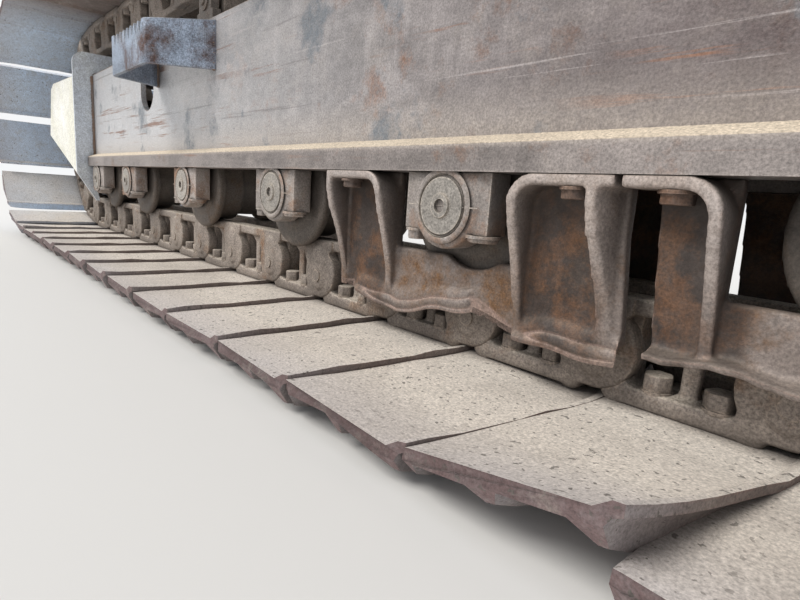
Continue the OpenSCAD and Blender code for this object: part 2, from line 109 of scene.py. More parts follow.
# Beam of the side frame
# Thick plates welded to an upside-down trough, with a flange along each foot. The old paint has
# gone from the outer face, which is brown-grey steel with rubbed streaks, rust blooms and dust.
class Coat:
    """The nodes of one finish, with the tone that its layers have built up so far."""

    def __init__(self, name):
        self.mat = bpy.data.materials.new(name)
        self.mat.use_nodes = True
        self.nodes, self.links = self.mat.node_tree.nodes, self.mat.node_tree.links
        self.shader = self.nodes["Principled BSDF"]
        self.place = self.nodes.new("ShaderNodeTexCoord").outputs["Object"]
        self.normal = self.nodes.new("ShaderNodeNewGeometry").outputs["Normal"]
        self.x, self.y, self.z = self.parts_of(self.place)
        self.away = self.size(self.y)
        self.broad = self.noise(3.2, 6, 0.62)
        self.fine = self.noise(55, 8, 0.72)
        self.speck = self.noise(210, 4, 0.6)

    def parts_of(self, vector):
        """The three numbers of a place or a direction."""
        n = self.nodes.new("ShaderNodeSeparateXYZ")
        self.links.new(vector, n.inputs[0])
        return n.outputs

    def noise(self, scale, detail, roughness, stretch=None):
        """A cloudy pattern on the piece's own place, drawn out where stretch is under 1."""
        n = self.nodes.new("ShaderNodeTexNoise")
        n.inputs["Scale"].default_value = scale
        n.inputs["Detail"].default_value = detail
        n.inputs["Roughness"].default_value = roughness
        source = self.place
        if stretch:
            m = self.nodes.new("ShaderNodeMapping")
            m.inputs["Scale"].default_value = stretch
            self.links.new(source, m.inputs["Vector"])
            source = m.outputs[0]
        self.links.new(source, n.inputs["Vector"])
        return n.outputs["Fac"]

    def ramp(self, source, low, high, a=0.0, b=1.0):
        """Goes from a to b while the source goes from low to high."""
        n = self.nodes.new("ShaderNodeMapRange")
        for key, value in (("From Min", low), ("From Max", high), ("To Min", a), ("To Max", b)):
            n.inputs[key].default_value = value
        self.links.new(source, n.inputs["Value"])
        return n.outputs[0]

    def work(self, operation, a, b):
        """One sum, of sockets or plain numbers."""
        n = self.nodes.new("ShaderNodeMath")
        n.operation = operation
        for i, value in enumerate((a, b)):
            if isinstance(value, (int, float)):
                n.inputs[i].default_value = value
            else:
                self.links.new(value, n.inputs[i])
        return n.outputs[0]

    def times(self, a, b):
        """Product of two patterns."""
        return self.work("MULTIPLY", a, b)

    def larger(self, a, b):
        """The larger of two patterns."""
        return self.work("MAXIMUM", a, b)

    def size(self, a):
        """A value without its sign."""
        return self.larger(a, self.times(a, -1))

    def blend(self, share, a, b, kind="MIX"):
        """Tone a with this share of tone b over it."""
        n = self.nodes.new("ShaderNodeMix")
        n.data_type = "RGBA"
        n.blend_type = kind
        if isinstance(share, (int, float)):
            n.inputs["Factor"].default_value = share
        else:
            self.links.new(share, n.inputs["Factor"])
        for value, key in ((a, 6), (b, 7)):
            if isinstance(value, tuple):
                n.inputs[key].default_value = value + (1,)
            else:
                self.links.new(value, n.inputs[key])
        return n.outputs[2]

    def lay(self, share, tone):
        """Lays a tone over what is there."""
        self.colour = self.blend(share, self.colour, tone)


def toned(tone, factor):
    """The tone made lighter or darker."""
    return tuple(min(1.0, c * factor) for c in tone)


def bare_steel(coat, clean, streak, mottle, runs):
    """Bare metal in clouds, with streaks rubbed along the piece and stains run down it."""
    coat.colour = coat.blend(coat.ramp(coat.fine, 0.30, 0.72), toned(clean, 0.62), clean)
    coat.lay(coat.ramp(coat.broad, 0.42, 0.70), toned(clean, 1.28))
    if streak:
        rubbed = coat.noise(9, 6, 0.7, streak)
        coat.lay(coat.ramp(rubbed, 0.52, 0.78, 0, 0.65), toned(clean, 1.45))
        coat.lay(coat.ramp(rubbed, 0.46, 0.26, 0, 0.5), toned(clean, 0.5))
    if mottle:
        cloud = coat.noise(15, 7, 0.72, (0.55, 1, 1))
        coat.lay(coat.ramp(cloud, 0.50, 0.66, 0, mottle), toned(clean, 1.5))
        coat.lay(coat.ramp(cloud, 0.46, 0.30, 0, mottle), toned(clean, 0.42))
    if runs:
        drip = coat.noise(34, 6, 0.68, (1, 1, 0.13))
        wide = coat.ramp(coat.broad, 0.38, 0.60, 0.25, 1.0)
        coat.lay(coat.times(coat.ramp(drip, 0.54, 0.68, 0, runs), wide), toned(clean, 1.7))
        coat.lay(coat.times(coat.ramp(drip, 0.44, 0.32, 0, runs), wide), toned(clean, 0.5))


def rust_blooms(coat, rust, share):
    """Rust in blooms with dark hearts. Gives back where it lies."""
    bloom = coat.ramp(coat.noise(7.5, 8, 0.74), 0.66 - 0.3 * share, 0.80 - 0.3 * share)
    rusty = coat.times(bloom, coat.ramp(coat.fine, 0.25, 0.55, 0.35, 1.0))
    coat.lay(rusty, coat.blend(coat.ramp(coat.speck, 0.35, 0.68), toned(rust, 0.55), rust))
    return rusty


def shade_and_rust_in_pockets(coat, pockets):
    """Painted shade and red rust in the hollows round these places along X: near black where the flange
    shades them, orange-red where rust shows.
    """
    pocket_shade_and_rust = coat.blend(coat.ramp(coat.noise(19, 7, 0.75), 0.44, 0.58), (0.024, 0.015, 0.012),
                     (0.118, 0.050, 0.018))
    for mid in pockets:
        off = coat.size(coat.work("SUBTRACT", coat.x, mid))
        inside = coat.times(coat.ramp(off, 0.066, 0.050, 0, 0.95), coat.ramp(coat.away, 0.178, 0.162))
        coat.lay(coat.times(inside, coat.ramp(coat.fine, 0.30, 0.68, 1.0, 0.80)), pocket_shade_and_rust)


def tone_from(coat, source, reach, rough_from=0.28):
    """A tone that sets in along a length: start, end, tone and its share there."""
    start, end, tone, share = reach
    set_in = coat.ramp(source, start, end, 0, share)
    coat.lay(coat.times(set_in, coat.ramp(coat.fine, rough_from, 0.60, 0.70, 1.0)), tone)


def scratches(coat, clean, share):
    """Long thin scratches, some bright and some dark."""
    line = coat.noise(30, 4, 0.6, (0.045, 1, 2.4))
    coat.lay(coat.ramp(line, 0.62, 0.67, 0, share), toned(clean, 2.0))
    coat.lay(coat.ramp(line, 0.37, 0.33, 0, share), toned(clean, 0.45))


def rusted_scores(coat, tone):
    """Scores where stones have dragged along, filled with rust."""
    line = coat.ramp(coat.noise(19, 6, 0.70, (0.085, 1, 2.2)), 0.565, 0.61, 0, 0.85)
    coat.lay(coat.times(line, coat.ramp(coat.broad, 0.44, 0.58)), tone)


def rubbed_edges(coat, tone):
    """Edges worn to this tone, 5 mm wide."""
    edge = coat.nodes.new("ShaderNodeBevel")
    edge.samples = 4
    edge.inputs["Radius"].default_value = 0.005
    dot = coat.nodes.new("ShaderNodeVectorMath")
    dot.operation = "DOT_PRODUCT"
    coat.links.new(edge.outputs[0], dot.inputs[0])
    coat.links.new(coat.normal, dot.inputs[1])
    worn = coat.ramp(dot.outputs["Value"], 0.985, 0.86)
    coat.lay(coat.times(worn, coat.ramp(coat.fine, 0.30, 0.60)), tone)


def dust_over(coat, dust, share, settle, high, band):
    """Dust settled on what faces up, in a thin film and in a band at a foot. Gives back where it lies."""
    facing_up = coat.ramp(coat.parts_of(coat.normal)["Z"], 0.25, 0.85)
    dusty = coat.times(facing_up, coat.ramp(coat.broad, 0.25, 0.55, 0.55 * settle, settle))
    if high:
        start, end, left = high
        dusty = coat.times(dusty, coat.ramp(coat.z, start, end, 1.0, left))
    film = coat.noise(13, 7, 0.7)
    film = coat.ramp(film, 0.60 - 0.25 * share, 0.80 - 0.25 * share, 0, 0.62 * share + 0.05)
    dusty = coat.larger(dusty, coat.times(film, coat.ramp(coat.fine, 0.36, 0.58, 0.25, 1.0)))
    if band:
        foot, top, packed = band
        rise = coat.work("ADD", coat.z, coat.times(coat.broad, 0.05))
        near = coat.ramp(rise, foot + 0.025, top + 0.025, packed, 0.0)
        near = coat.times(near, coat.ramp(coat.z, foot - 0.006, foot - 0.001))
        dusty = coat.larger(dusty, coat.times(near, coat.ramp(coat.fine, 0.30, 0.60, 0.45, 1.0)))
    coat.lay(dusty, coat.blend(coat.ramp(coat.speck, 0.3, 0.7), toned(dust, 0.72), dust))
    return dusty


def rubbed_ends(coat, reach):
    """Ends far from the middle plane, where feet and stones rub the dust away."""
    start, end, tone, share = reach
    bare = coat.ramp(coat.away, start, end, 0, share)
    coat.lay(coat.times(bare, coat.ramp(coat.broad, 0.35, 0.60, 0.55, 1.0)), tone)


def bare_flanks(coat, tone, share):
    """Faces turned to the sides, where no dust holds."""
    facing = coat.size(coat.parts_of(coat.normal)["Y"])
    bare = coat.ramp(facing, 0.45, 0.85, 0, share)
    coat.lay(coat.times(bare, coat.ramp(coat.fine, 0.25, 0.55, 0.6, 1.0)), tone)


def patches(coat, tone, start):
    """Large spots of another tone."""
    spot = coat.ramp(coat.noise(5.5, 6, 0.65), start, start + 0.08)
    coat.lay(coat.times(spot, coat.ramp(coat.fine, 0.32, 0.55, 0.2, 0.85)), tone)


def crumbs_of_soil(coat, dust):
    """Dark crumbs on the dust, and damp stains in it."""
    grit = coat.ramp(coat.noise(125, 2, 0.5), 0.65, 0.67, 0, 0.85)
    coat.lay(coat.times(grit, coat.ramp(coat.broad, 0.36, 0.56, 0.15, 1.0)), toned(dust, 0.16))
    coat.lay(coat.ramp(coat.noise(22, 6, 0.7), 0.52, 0.78, 0.0, 0.55), toned(dust, 0.60))


def pitting(coat, depth):
    """Small pits darken the tone, and the grain between them lightens it."""
    pits = coat.ramp(coat.noise(300, 5, 0.72), 0.33, 0.64, 1 - depth, 1 + 0.75 * depth)
    shade = coat.nodes.new("ShaderNodeCombineColor")
    for key in ("Red", "Green", "Blue"):
        coat.links.new(pits, shade.inputs[key])
    coat.colour = coat.blend(1.0, coat.colour, shade.outputs[0], "MULTIPLY")


def shade_and_dirt_in_hollows(coat, clean, reach, hollow_shade_ramp, share):
    """Painted shade and oily dirt in corners and under covers, darker where ambient occlusion finds a point
    closed in.
    """
    occlusion_shade = coat.nodes.new("ShaderNodeAmbientOcclusion")
    occlusion_shade.samples = 4
    occlusion_shade.inputs["Distance"].default_value = reach
    coat.lay(coat.ramp(occlusion_shade.outputs["AO"], hollow_shade_ramp[0], hollow_shade_ramp[1], 0.0, share), toned(clean, 0.36))


def surface(coat, rough, shine, dusty, rusty):
    """Metal shines where neither dust nor rust covers it, and its grain stands out."""
    covered = coat.larger(dusty, rusty)
    coat.links.new(coat.colour, coat.shader.inputs["Base Color"])
    coat.links.new(coat.work("SUBTRACT", shine, coat.times(covered, shine)), coat.shader.inputs["Metallic"])
    coat.links.new(coat.ramp(covered, 0, 1, rough, 0.92), coat.shader.inputs["Roughness"])
    relief = coat.nodes.new("ShaderNodeBump")
    relief.inputs["Strength"].default_value = 0.55
    relief.inputs["Distance"].default_value = 0.0016
    height = coat.work("ADD", coat.times(coat.fine, 0.7), coat.times(coat.speck, 0.35))
    coat.links.new(coat.work("ADD", height, coat.times(rusty, 0.5)), relief.inputs["Height"])
    coat.links.new(relief.outputs[0], coat.shader.inputs["Normal"])


def worn_metal(name, clean, rust, dust, rust_share=0.4, dust_share=0.35, streak=None, mottle=0.0, runs=0.0,
               rough=0.62, shine=0.35, pockets=(), drift=(), outer=None, scratch=0.0, scores=None, lip=None,
               settle=1.0, high=None, band=None, ends=None, flank=None, patch=None, patch_at=0.56,
               crumbs=False, pits=0.42, reach=0.045, hollow_shade_ramp=(0.78, 0.22), hollow_shade_share=0.72):
    """Steel that has lost its paint: clean metal, rust in blooms, dust on what faces up, painted shade in
    hollows.
    """
    coat = Coat(name)
    bare_steel(coat, clean, streak, mottle, runs)
    rusty = rust_blooms(coat, rust, rust_share)
    if pockets:
        shade_and_rust_in_pockets(coat, pockets)
    for along_x in drift:
        tone_from(coat, coat.x, along_x, 0.25)
    if outer:
        tone_from(coat, coat.away, outer)
    if scratch:
        scratches(coat, clean, scratch)
    if scores:
        rusted_scores(coat, scores)
    rubbed_edges(coat, lip or toned(clean, 1.55))
    dusty = dust_over(coat, dust, dust_share, settle, high, band)
    if ends:
        rubbed_ends(coat, ends)
    if flank:
        bare_flanks(coat, *flank)
    if patch:
        patches(coat, patch, patch_at)
    if crumbs:
        crumbs_of_soil(coat, dust)
    pitting(coat, pits)
    # Painted shade, mixed with oily dirt, in corners and hollows.
    shade_and_dirt_in_hollows(coat, clean, reach, hollow_shade_ramp, hollow_shade_share)
    surface(coat, rough, shine, dusty, rusty)
    return coat.mat


def dress(mat, *names):
    """Gives these CAD nodes this finish."""
    for name in names:
        for slot in node[name].material_slots:
            slot.material = mat


flange_top = 0.357
beam_steel = worn_metal(
    "beam_steel", (0.292, 0.266, 0.262), (0.29, 0.140, 0.075), (0.50, 0.445, 0.395), rust_share=0.34,
    dust_share=0.42, streak=(0.10, 1, 1.9), rough=0.46, shine=0.35, lip=(0.46, 0.40, 0.36),
    band=(flange_top, 0.44, 0.80), patch=(0.150, 0.175, 0.200), scratch=0.40, pits=0.34, runs=0.60,
    scores=(0.235, 0.115, 0.070), mottle=0.62,
    drift=((-0.12, -0.66, (0.068, 0.044, 0.043), 0.93), (-0.15, 1.0, (0.63, 0.64, 0.655), 0.80)))
flange_steel = worn_metal(
    "flange_steel", (0.240, 0.212, 0.200), (0.26, 0.140, 0.085), (0.44, 0.39, 0.35), rust_share=0.30,
    dust_share=0.40, streak=(0.08, 1, 1.5), rough=0.5, shine=0.3, lip=(0.42, 0.37, 0.34),
    band=(flange_top, 0.44, 0.80), pits=0.40, mottle=0.55, scores=(0.24, 0.130, 0.085))
dress(beam_steel, "side_plate_outer", "side_plate_inner", "top_plate", "floor_plate",
      "mounting_pad_front", "mounting_pad_rear", "fork_outer", "fork_inner", "drive_bracket")
dress(flange_steel, "flange_outer", "flange_inner")

# Weld between the side plates and their flanges
# A long fillet, laid by machine and packed with pale dust, so that it shows as a light band
# over the flange. It is one bar, with its outer top edge brought down to the flange.
weld_rise, weld_run, weld_toe = 0.014, 0.030, 0.001
weld_dust = worn_metal(
    "weld_dust", (0.46, 0.39, 0.31), (0.34, 0.20, 0.11), (0.72, 0.62, 0.49), rust_share=0.15,
    dust_share=0.9, rough=0.85, shine=0.05)
for side, name in ((1, "outer"), (-1, "inner")):
    low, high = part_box("flange_" + name)
    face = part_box("side_plate_" + name)[1 if side > 0 else 0][1]
    bpy.ops.mesh.primitive_cube_add(size=1)
    weld = bpy.context.object
    weld.name = "weld_" + name
    weld.dimensions = (high[0] - low[0], weld_run, weld_rise)
    weld.location = ((low[0] + high[0]) / 2, face + side * weld_run / 2, high[2] + weld_rise / 2)
    bpy.ops.object.transform_apply()
    for v in weld.data.vertices:
        if v.co.z > high[2] + weld_rise / 2 and abs(v.co.y - face) > weld_run / 2:
            v.co.z = high[2] + weld_toe
    weld.data.materials.append(weld_dust)
    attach(weld, "frame")

# Chain guards
# Each is a thick web under the flange with two posts bent from plate and a lip along its foot,
# which stones and mud have worn to a wave. The copies are softened, as plate and castings are.
# The posts' pockets get painted shade from the flange over them, mixed with red rust.
pocket_rear, pocket_front = 0.073, 0.071
pockets = [x for n in ("guard_outer_1", "guard_outer_2", "guard_outer_3")
           for x in (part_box(n)[0][0] + pocket_rear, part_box(n)[1][0] - pocket_front)]
guard_steel = worn_metal(
    "guard_steel", (0.235, 0.196, 0.176), (0.205, 0.108, 0.050), (0.36, 0.29, 0.22), rust_share=0.66,
    dust_share=0.22, rough=0.55, shine=0.35, lip=(0.35, 0.250, 0.210),
    outer=(0.149, 0.178, (0.47, 0.415, 0.385), 0.74), reach=0.14, hollow_shade_share=0.85, pits=0.40, settle=0.25,
    hollow_shade_ramp=(0.82, 0.36), mottle=0.35, pockets=pockets)


def pick(*objects):
    """Selects these objects alone, the first one active."""
    bpy.ops.object.select_all(action="DESELECT")
    for o in objects:
        o.select_set(True)
    bpy.context.view_layer.objects.active = objects[0]


def joined(pieces):
    """Makes one object of these."""
    pick(*pieces)
    if len(pieces) > 1:
        bpy.ops.object.join()
    return bpy.context.view_layer.objects.active


def shape_with(piece, kind, **settings):
    """Applies a modifier with these settings to the active piece."""
    mod = piece.modifiers.new(kind.lower(), kind)
    for key, value in settings.items():
        setattr(mod, key, value)
    bpy.ops.object.modifier_apply(modifier=mod.name)


def hand_over(piece, name, mat, body="frame", smooth=40, stands_for=()):
    """Names and smooths the active piece, and gives it its finish and its place in the part."""
    piece.name = name
    bpy.ops.object.shade_smooth_by_angle(angle=math.radians(smooth))
    piece.data.materials.clear()
    piece.data.materials.append(mat)
    if stands_for:
        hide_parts(*stands_for)
    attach(piece, body)


def softened(name, cad_name, voxel, mat, faces, wave=None, body="frame", extra=()):
    """One piece from a copy of a CAD node, its edges rounded as on a casting."""
    copy = bpy.data.objects.new(name, node[cad_name].data.copy())
    bpy.context.collection.objects.link(copy)
    piece = joined([copy, *extra])
    bpy.ops.object.mode_set(mode="EDIT")
    bpy.ops.mesh.select_all(action="SELECT")
    bpy.ops.mesh.remove_doubles(threshold=0.00005)
    bpy.ops.object.mode_set(mode="OBJECT")
    shape_with(piece, "REMESH", mode="VOXEL", voxel_size=voxel)
    shape_with(piece, "SMOOTH", factor=0.5, iterations=3)
    if wave:
        for v in piece.data.vertices:
            v.co += wave(v.co)
    triangles = 2 * len(piece.data.polygons)
    if triangles > faces:
        shape_with(piece, "DECIMATE", ratio=faces / triangles)
    hand_over(piece, name, mat, body, smooth=50, stands_for=(cad_name,))


def kept(value):
    """The value kept between 0 and 1."""
    return min(1.0, max(0.0, value))


def along(x, places):
    """Value at x on a line through (x, value) places, x falling."""
    for (xa, va), (xb, vb) in zip(places, places[1:]):
        if x >= xb:
            return va + (vb - va) * kept((xa - x) / (xa - xb))
    return places[-1][1]


web_y, lip_reach, lip_rise, gusset_top = 0.146, 0.020, 0.024, 0.258
lip_lift = ((0.04, -0.003), (-0.01, -0.002), (-0.07, -0.006), (-0.13, -0.012), (-0.20, 0.004),
            (-0.25, 0.014), (-0.29, 0.022), (-0.37, -0.010), (-0.41, -0.003), (-0.447, 0.000),
            (-0.50, -0.001), (-0.545, -0.004))
lip_thickness = ((0.04, 0.7), (-0.13, 0.45), (-0.24, 0.55), (-0.285, 0.75), (-0.37, 0.6), (-0.545, 0.6))
lip_droop = ((0.04, 0.2), (-0.01, 0.5), (-0.10, 1.15), (-0.20, 1.0), (-0.285, 1.15), (-0.37, 0.3),
             (-0.41, 1.0), (-0.447, 1.2), (-0.50, 1.0), (-0.545, 0.5))
lip_gone = ((0.04, 1.0), (0.0, 1.0), (-0.022, 0.0), (-0.283, 0.0), (-0.291, 1.0), (-0.364, 1.0),
            (-0.374, 0.0), (-0.545, 0.0))


def torn_lip(co, foot, away, near, out):
    """A lip that droops and curls like a leaf, with two pieces gone."""
    shift = Vector((0, 0, along(co.x, lip_lift) * near))
    lip = out * kept((foot + lip_rise - co.z) / 0.006)
    if lip > 0:
        shift.z += (co.z - foot - 0.007) * (along(co.x, lip_thickness) - 1) * lip
        turn = along(co.x, lip_droop) * lip
        shift.z -= away * math.sin(turn)
        shift.y -= math.copysign(away * (1 - math.cos(turn)) + 0.25 * away * lip, co.y)
    return shift


def worn_lip(co, foot, side, near, out):
    """A lip rubbed thin and a little wavy."""
    shift = Vector((0, 0, 0))
    shift.z = 0.002 * (math.sin(co.x * 19 + side) + math.sin(co.x * 47)) * near * (0.35 + 0.65 * out)
    lip = out * kept((foot + 0.028 - co.z) / 0.012)
    shift.z -= (min(co.z, foot + 0.018) - foot - 0.012) * 0.5 * lip
    ragged = 0.006 + 0.003 * math.sin(co.x * 83) + 0.002 * math.sin(co.x * 211)
    shift.y -= math.copysign(ragged, co.y) * lip
    return shift


def guard_wear(low, high, side, torn):
    """How far wear has moved each point of a guard: its lip, its gussets' edges and its rear foot."""
    foot = low[2]

    def wave(co):
        near = kept(1.6 - (co.z - foot) / lip_rise)
        away = abs(co.y) - web_y
        out = kept(away / lip_reach)
        shift = Vector((0, 0, 0))
        if away > 0:
            slant = kept((gusset_top - co.z) / 0.10) * kept((co.z - foot - 0.012) / 0.012)
            post = max(kept((co.x - (high[0] - 0.045)) / 0.02), kept((low[0] + 0.05 - co.x) / 0.02))
            shift.y -= math.copysign(away * slant * (0.35 + 0.30 * post), co.y)
        if torn:
            shift += torn_lip(co, foot, away, near, out)
            if away > 0:
                left = away + shift.y * math.copysign(1, co.y)
                shift.y -= math.copysign(left, co.y) * along(co.x, lip_gone) * near
        else:
            shift += worn_lip(co, foot, side, near, out)
        shift.z += 0.0022 * math.sin(co.x * 61 + 2) * near
        shift.y += side * 0.0025 * math.sin(co.x * 37) * near
        shift.x = -0.012 * max(0.0, 1 - (co.x - low[0]) / 0.035) * max(0.0, 1 - (co.z - foot) / 0.13)
        return shift
    return wave


guards = [n for n in node if n.startswith("guard_")]
guard_rollers = {"1": 4, "2": 3, "3": 1}
web_place, web_size, web_ahead = (0.139, 0.168), (0.262, 0.012, 0.066), 0.012
notch_radius, notch_behind = 0.088, 0.03
for n in guards:
    low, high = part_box(n)
    side = 1 if "outer" in n else -1
    hub_low, hub_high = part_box("track_roller_%d" % guard_rollers[n[-1]])
    mid_x, mid_z = (hub_low[0] + hub_high[0]) / 2, (hub_low[2] + hub_high[2]) / 2
    bpy.ops.mesh.primitive_cube_add(size=1, location=(mid_x + web_ahead, side * web_place[0], web_place[1]),
                                    scale=web_size)
    web = bpy.context.object
    bpy.ops.mesh.primitive_cylinder_add(vertices=48, radius=notch_radius, depth=0.1,
                                        location=(mid_x - notch_behind, side * web_place[0], mid_z),
                                        rotation=(math.pi / 2, 0, 0))
    notch = bpy.context.object
    for o in (notch, web):
        pick(o)
        bpy.ops.object.transform_apply()
    shape_with(web, "BOOLEAN", object=notch)
    bpy.data.objects.remove(notch, do_unlink=True)
    softened(n.replace("guard", "chain_guard"), n, 0.0033, guard_steel,
             wave=guard_wear(low, high, side, n[-1] == "1"), faces=38000, extra=[web])

# Guard bolts
# Hexagon bolts hold the guards' turned-out tops under the flanges, one to a post. Their heads
# hang in the posts' pockets, rusted and rounded.
washer_thick = 0.004


def bolt_head(radius, height, washer_share):
    """Hexagon head with a washer, its base at the origin, standing along +Z."""
    bpy.ops.mesh.primitive_cylinder_add(vertices=6, radius=radius, depth=height,
                                        location=(0, 0, height / 2))
    head = bpy.context.object
    bpy.ops.object.transform_apply()
    shape_with(head, "BEVEL", width=radius * 0.14, segments=2)
    bpy.ops.mesh.primitive_cylinder_add(vertices=20, radius=radius * washer_share, depth=washer_thick,
                                        location=(0, 0, washer_thick / 2))
    washer = bpy.context.object
    bpy.ops.object.transform_apply()
    return joined([head, washer])


def set_copies(name, model, places, mat, keep=False, stands_for=()):
    """One piece from copies of a model, each with its own mesh, at these matrices."""
    copies = []
    for place in places:
        c = bpy.data.objects.new(name, model.data.copy())
        bpy.context.collection.objects.link(c)
        c.data.transform(place)
        if place.determinant() < 0:
            c.data.flip_normals()
        copies.append(c)
    hand_over(joined(copies), name, mat, stands_for=stands_for)
    if not keep:
        bpy.data.objects.remove(model, do_unlink=True)


down = Matrix.Rotation(math.pi, 4, "X")
row_y, seat_drop, from_rear, from_front = 0.171, 0.014, 0.055, 0.052
guard_bolts = []
for n in guards:
    low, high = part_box(n)
    y = (1 if "outer" in n else -1) * row_y
    for x in (low[0] + from_rear, high[0] - from_front):
        seat = Matrix.Translation((x, y, high[2] - seat_drop))
        guard_bolts.append(seat @ Matrix.Rotation(x * 9, 4, "Z") @ down)
bolt_rust = worn_metal(
    "bolt_rust", (0.130, 0.098, 0.084), (0.17, 0.088, 0.050), (0.34, 0.27, 0.21), rust_share=0.7,
    dust_share=0.25, rough=0.7, shine=0.2, lip=(0.26, 0.185, 0.145))
set_copies("guard_bolts", bolt_head(0.018, 0.015, 1.12), guard_bolts, bolt_rust)

# Track rollers and their collars
# Cast collars hold each roller's shaft under the flanges. The collars are dusty with rust spots,
# and the forged shells between them are darker, with painted shade and dark dirt in their corners.
collar_steel = worn_metal(
    "collar_steel", (0.345, 0.308, 0.285), (0.27, 0.150, 0.090), (0.55, 0.49, 0.42), rust_share=0.6,
    dust_share=0.45, rough=0.7, shine=0.2, lip=(0.54, 0.48, 0.42), patch=(0.27, 0.150, 0.088),
    patch_at=0.525, pits=0.42, reach=0.07)
roller_steel = worn_metal(
    "roller_steel", (0.130, 0.110, 0.095), (0.18, 0.115, 0.070), (0.30, 0.25, 0.20), rust_share=0.45,
    dust_share=0.40, rough=0.6, shine=0.3, reach=0.12, hollow_shade_share=0.85)
rollers = [n for n in node if n.startswith("track_roller_")]
for n in rollers:
    softened(n.replace("track_roller", "roller_shell"), n, 0.0042, roller_steel, faces=9000)
mounts = [n for n in node if n.startswith("roller_mount_")]
for n in mounts:
    softened(n.replace("mount", "collar"), n, 0.0036, collar_steel, faces=17000)

# Shaft end discs and collar bolts
# Each shaft end carries a turned disc with a ring groove and a plug with a hexagon socket, in the
# collar's round rim. Two bolts hold each collar's ears from below, their heads worn to stubs.
disc_radius, disc_thick, socket_radius = 0.044, 0.004, 0.0098


def open_face(piece, toward):
    """Opens a piece for editing, with the face farthest in this direction selected."""
    bpy.ops.object.mode_set(mode="EDIT")
    bpy.ops.mesh.select_mode(type="FACE")
    bpy.ops.mesh.select_all(action="DESELECT")
    bpy.ops.object.mode_set(mode="OBJECT")
    max(piece.data.polygons, key=lambda p: p.center.dot(toward)).select = True
    bpy.ops.object.mode_set(mode="EDIT")


bpy.ops.mesh.primitive_cylinder_add(vertices=40, radius=disc_radius, depth=disc_thick,
                                    location=(0, 0, disc_thick / 2))
disc = bpy.context.object
bpy.ops.object.transform_apply()
open_face(disc, Vector((0, 0, 1)))
for inset, lift in ((0.0008, -0.0035), (0.0020, 0.0), (0.0008, 0.0035), (0.0225, 0.0), (0.0010, 0.0030),
                    (0.0045, 0.0)):
    bpy.ops.mesh.inset(thickness=inset, depth=0)
    bpy.ops.transform.translate(value=(0, 0, lift))
bpy.ops.object.mode_set(mode="OBJECT")
bpy.ops.mesh.primitive_cylinder_add(vertices=24, radius=socket_radius, depth=0.02, location=(0, 0, 0.0045))
socket = bpy.context.object
pick(disc)
shape_with(disc, "BOOLEAN", object=socket)
bpy.data.objects.remove(socket, do_unlink=True)
rim_radius, rim_round, rim_flat, seam_length, seam_thick = 0.0490, 0.0048, 0.42, 0.136, 0.0018
bpy.ops.mesh.primitive_torus_add(major_radius=rim_radius, minor_radius=rim_round, major_segments=40,
                                 minor_segments=10)
rim = bpy.context.object
bpy.ops.transform.resize(value=(1, 1, rim_flat))
bpy.ops.object.transform_apply()
bpy.ops.mesh.primitive_cube_add(size=1, location=(0, 0, 0), scale=(seam_length, seam_thick, seam_thick))
seam = bpy.context.object
bpy.ops.object.transform_apply()
shape_with(seam, "BEVEL", width=0.0006)
rim = joined([rim, seam])
shaft_up, ear_reach, ear_y, ear_drop = 0.061, 0.066, 0.168, 0.036
rims, discs, hex_stubs, flat_stubs = [], [], [], []
for i, n in enumerate(mounts):
    low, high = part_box(n)
    x, z = (low[0] + high[0]) / 2, low[2] + shaft_up
    for side in (1, -1):
        face = high[1] if side > 0 else low[1]
        flat = Matrix.Translation((x, face, z)) @ Matrix.Rotation(-side * math.pi / 2, 4, "X")
        rims.append(flat)
        discs.append(flat @ Matrix.Translation((0, 0, -0.0018)) @ Matrix.Rotation(i * 0.7, 4, "Z"))
        for end, stubs in ((-1, flat_stubs), (1, hex_stubs)):
            stubs.append(Matrix.Translation((x + end * ear_reach, side * ear_y, z - ear_drop))
                         @ Matrix.Rotation(i + end, 4, "Z") @ down)
disc_steel = worn_metal(
    "disc_steel", (0.34, 0.315, 0.285), (0.28, 0.18, 0.11), (0.50, 0.45, 0.38), rust_share=0.3,
    dust_share=0.5, rough=0.55, shine=0.35, lip=(0.55, 0.49, 0.42), pits=0.5)
set_copies("shaft_discs", disc, discs, disc_steel)
set_copies("collar_rims", rim, rims, collar_steel)
set_copies("collar_bolts", bolt_head(0.0155, 0.017, 1.1), hex_stubs, collar_steel)
set_copies("collar_bolts_worn", bolt_head(0.023, 0.010, 1.05), flat_stubs, collar_steel)

# Chain links
# Forged links: each has an outer boss over the pin, an inner boss over the next bushing, a rail,
# a foot with two square nuts and a column between two windows. Dust has packed at the feet.
pitch, link_count, wheel_teeth = 0.216, 51, 22
sag, sagging_spans, first_pin, pin_over_grousers = 0.010, 3, -0.034, 0.111
pin_circle = pitch / (2 * math.sin(2 * math.pi / wheel_teeth))
slack = (math.pi * sagging_spans * sag) ** 2 / (2 * (link_count - wheel_teeth / 2) * pitch)
wheel_dist = ((link_count - wheel_teeth / 2) * pitch - slack) / 2
pin_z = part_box("track_shoes")[0][2] + pin_over_grousers
wheel_z = pin_z + pin_circle
arc = wheel_teeth / 4 * pitch
link_steel = worn_metal(
    "link_steel", (0.270, 0.230, 0.200), (0.27, 0.16, 0.095), (0.54, 0.475, 0.40), rust_share=0.45,
    dust_share=0.55, rough=0.66, shine=0.25, lip=(0.50, 0.41, 0.33), pits=0.55, reach=0.07, hollow_shade_share=0.8)


